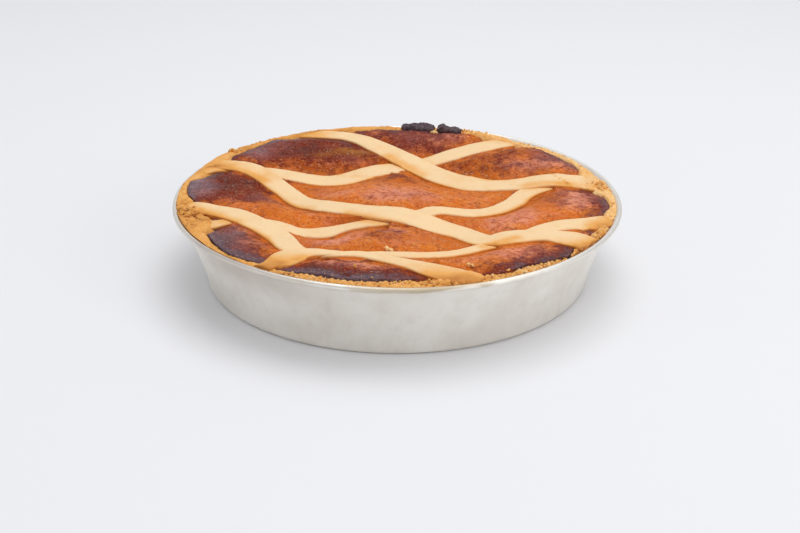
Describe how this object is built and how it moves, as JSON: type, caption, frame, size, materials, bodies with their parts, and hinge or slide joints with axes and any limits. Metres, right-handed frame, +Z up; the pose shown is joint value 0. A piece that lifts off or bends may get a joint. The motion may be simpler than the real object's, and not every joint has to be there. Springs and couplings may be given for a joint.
{
  "type": "lattice-topped ricotta and wheat tart in its tin",
  "caption": "Round baked tart with pastry strips laid across a puffed caramel-brown filling, in its own plain flared aluminium tin.",
  "frame": {"origin": "middle of the tin's flat underside", "axes": "+Z up; -Y faces the front of the tart; +X to its right"},
  "size_m": [0.24, 0.24, 0.0473],
  "materials": {
    "tin": "plain satin",
    "pastry_case": "baked golden shortcrust, crumbly",
    "filling": "baked caramel-brown skin with a soft sheen, burnt near the rim",
    "strip_over_1": "pale baked shortcrust, matte",
    "strip_over_2": "pale baked shortcrust, matte",
    "strip_over_3": "pale baked shortcrust, matte",
    "strip_under_1": "pale baked shortcrust, matte",
    "strip_under_2": "pale baked shortcrust, matte",
    "strip_under_3": "pale baked shortcrust, matte",
    "charred_drip_1": "charred, rough",
    "charred_drip_2": "charred, rough"
  },
  "bodies": {
    "root": {"tin": "tin", "pastry_case": "pastry_case", "filling": "filling", "strip_over_1": "strip_over_1", "strip_over_2": "strip_over_2", "strip_over_3": "strip_over_3", "strip_under_1": "strip_under_1", "strip_under_2": "strip_under_2", "strip_under_3": "strip_under_3", "charred_drip_1": "charred_drip_1", "charred_drip_2": "charred_drip_2"}
  },
  "joints": []
}
